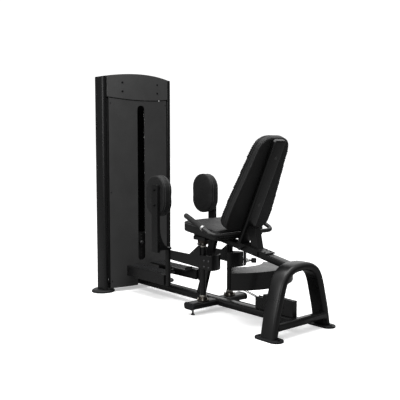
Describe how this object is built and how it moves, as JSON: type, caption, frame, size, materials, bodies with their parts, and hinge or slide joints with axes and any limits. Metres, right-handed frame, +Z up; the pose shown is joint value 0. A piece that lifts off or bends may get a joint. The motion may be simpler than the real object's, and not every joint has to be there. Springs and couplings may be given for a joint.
{
  "type": "hip abductor machine",
  "caption": "Selectorised hip abductor machine: weight tower, reclined seat on a rail, and two coupled leg arms with swivelling knee pads.",
  "frame": {"origin": "centre of the machine's bounding box, at floor level", "axes": "+Y from the seat to the weight tower, +X to the right of a sitter who faces the tower, +Z up"},
  "size_m": [0.684, 1.699, 1.5],
  "materials": {
    "powder_black": "satin",
    "panel_grey": "satin",
    "vinyl_black": "grained",
    "rubber_black": "matte",
    "plastic_dark": "matte",
    "chrome": "polished",
    "bearing_steel": "brushed",
    "stack_iron": "painted",
    "cable_black": "satin"
  },
  "bodies": {
    "frame": {"tower_column_left": "powder_black", "tower_column_right": "powder_black", "tower_foot_left": "rubber_black", "tower_foot_right": "rubber_black", "guide_rod_left": "chrome", "guide_rod_right": "chrome", "crossbar_cap_left": "rubber_black", "crossbar_cap_right": "rubber_black", "arch_foot_left": "rubber_black", "arch_foot_right": "rubber_black", "lower_bearing_left": "bearing_steel", "lower_bearing_right": "bearing_steel", "upper_bearing_left": "bearing_steel", "upper_bearing_right": "bearing_steel", "tower_front_panel": "panel_grey", "tower_header": "panel_grey", "tower_rear_panel": "panel_grey", "tower_top_beam": "powder_black", "tower_base": "powder_black", "stack_cushion": "rubber_black", "weight_stack_lower": "stack_iron", "base_rail": "powder_black", "rear_arch": "powder_black", "pulley_riser": "powder_black", "cam_guard": "powder_black", "main_cable": "cable_black", "seat_column": "powder_black", "seat_rail": "powder_black", "bearing_bridge": "powder_black", "seat_pad": "vinyl_black"},
    "stack": {"weight_stack_upper": "stack_iron"},
    "selector_pin": {"stack_selector_pin": "plastic_dark"},
    "top_pulley_wheel": {"top_pulley": "plastic_dark"},
    "bottom_pulley_wheel": {"bottom_pulley": "plastic_dark"},
    "rear_pulley_wheel": {"rear_pulley": "plastic_dark"},
    "yoke": {"cable_yoke": "chrome"},
    "backrest": {"backrest_carriage": "powder_black", "backrest_post": "powder_black", "backrest_pad": "vinyl_black", "handle_bar": "powder_black", "hand_grip_left": "rubber_black", "hand_grip_right": "rubber_black"},
    "backrest_pin": {"backrest_pull_knob": "plastic_dark"},
    "start_knob": {"start_selector_knob": "plastic_dark"},
    "left_arm": {"left_pivot_sleeve": "powder_black", "left_pivot_web": "powder_black", "left_arm_strap": "powder_black", "left_end_post": "powder_black", "left_foot_rest": "powder_black"},
    "left_knee": {"left_knee_bracket": "powder_black", "left_knee_pad": "vinyl_black"},
    "right_arm": {"right_pivot_sleeve": "powder_black", "right_pivot_web": "powder_black", "right_arm_strap": "powder_black", "right_end_post": "powder_black", "right_foot_rest": "powder_black", "start_position_sector": "powder_black", "start_selector_housing": "chrome"},
    "right_knee": {"right_knee_bracket": "powder_black", "right_knee_pad": "vinyl_black"}
  },
  "joints": [
    {"name": "left_arm_swing", "type": "hinge", "parent": "frame", "child": "left_arm", "pos_m": [-0.11, -0.1155, 0.2], "axis": [0, 0, 1], "range_deg": [0, 45]},
    {"name": "right_arm_swing", "type": "hinge", "parent": "frame", "child": "right_arm", "pos_m": [0.11, -0.1155, 0.2], "axis": [0, 0, 1], "range_deg": [-45, 0]},
    {"name": "stack_lift", "type": "slide", "parent": "frame", "child": "stack", "axis": [0, 0, 1], "range_m": [0, 0.1]},
    {"name": "selector_pin_pull", "type": "slide", "parent": "stack", "child": "selector_pin", "axis": [0, -1, 0], "range_m": [0, 0.036]},
    {"name": "top_pulley_spin", "type": "hinge", "parent": "frame", "child": "top_pulley_wheel", "pos_m": [0, 0.7825, 1.345], "axis": [1, 0, 0], "range_deg": [-165, 0]},
    {"name": "bottom_pulley_spin", "type": "hinge", "parent": "frame", "child": "bottom_pulley_wheel", "pos_m": [0, 0.7825, 0.123], "axis": [1, 0, 0], "range_deg": [-165, 0]},
    {"name": "rear_pulley_spin", "type": "hinge", "parent": "frame", "child": "rear_pulley_wheel", "pos_m": [0, -0.4885, 0.112], "axis": [1, 0, 0], "range_deg": [-240, 0]},
    {"name": "yoke_pull", "type": "slide", "parent": "frame", "child": "yoke", "axis": [0, 0.9776, 0.2104], "range_m": [0, 0.1]},
    {"name": "backrest_slide", "type": "slide", "parent": "frame", "child": "backrest", "axis": [0, 0.9844, 0.1762], "range_m": [-0.1, 0.01]},
    {"name": "backrest_pin_pull", "type": "slide", "parent": "backrest", "child": "backrest_pin", "axis": [-1, 0, 0], "range_m": [0, 0.012], "stiffness_N_per_m": 400},
    {"name": "left_knee_swivel", "type": "hinge", "parent": "left_arm", "child": "left_knee", "pos_m": [-0.137, 0.1945, 0.355], "axis": [0, 0, 1], "range_deg": [-180, 0]},
    {"name": "right_knee_swivel", "type": "hinge", "parent": "right_arm", "child": "right_knee", "pos_m": [0.137, 0.1945, 0.355], "axis": [0, 0, 1], "range_deg": [0, 180]},
    {"name": "start_knob_pull", "type": "slide", "parent": "right_arm", "child": "start_knob", "axis": [0.6428, -0.766, 0], "range_m": [0, 0.012], "stiffness_N_per_m": 400}
  ],
  "couplings": [
    {"joint": "right_arm_swing", "follows": "left_arm_swing", "ratio": -1},
    {"joint": "stack_lift", "follows": "left_arm_swing", "m_per_rad": 0.12732},
    {"joint": "yoke_pull", "follows": "left_arm_swing", "m_per_rad": 0.12732},
    {"joint": "top_pulley_spin", "follows": "left_arm_swing", "ratio": -3.6378},
    {"joint": "bottom_pulley_spin", "follows": "left_arm_swing", "ratio": -3.6378},
    {"joint": "rear_pulley_spin", "follows": "left_arm_swing", "ratio": -5.3052}
  ]
}
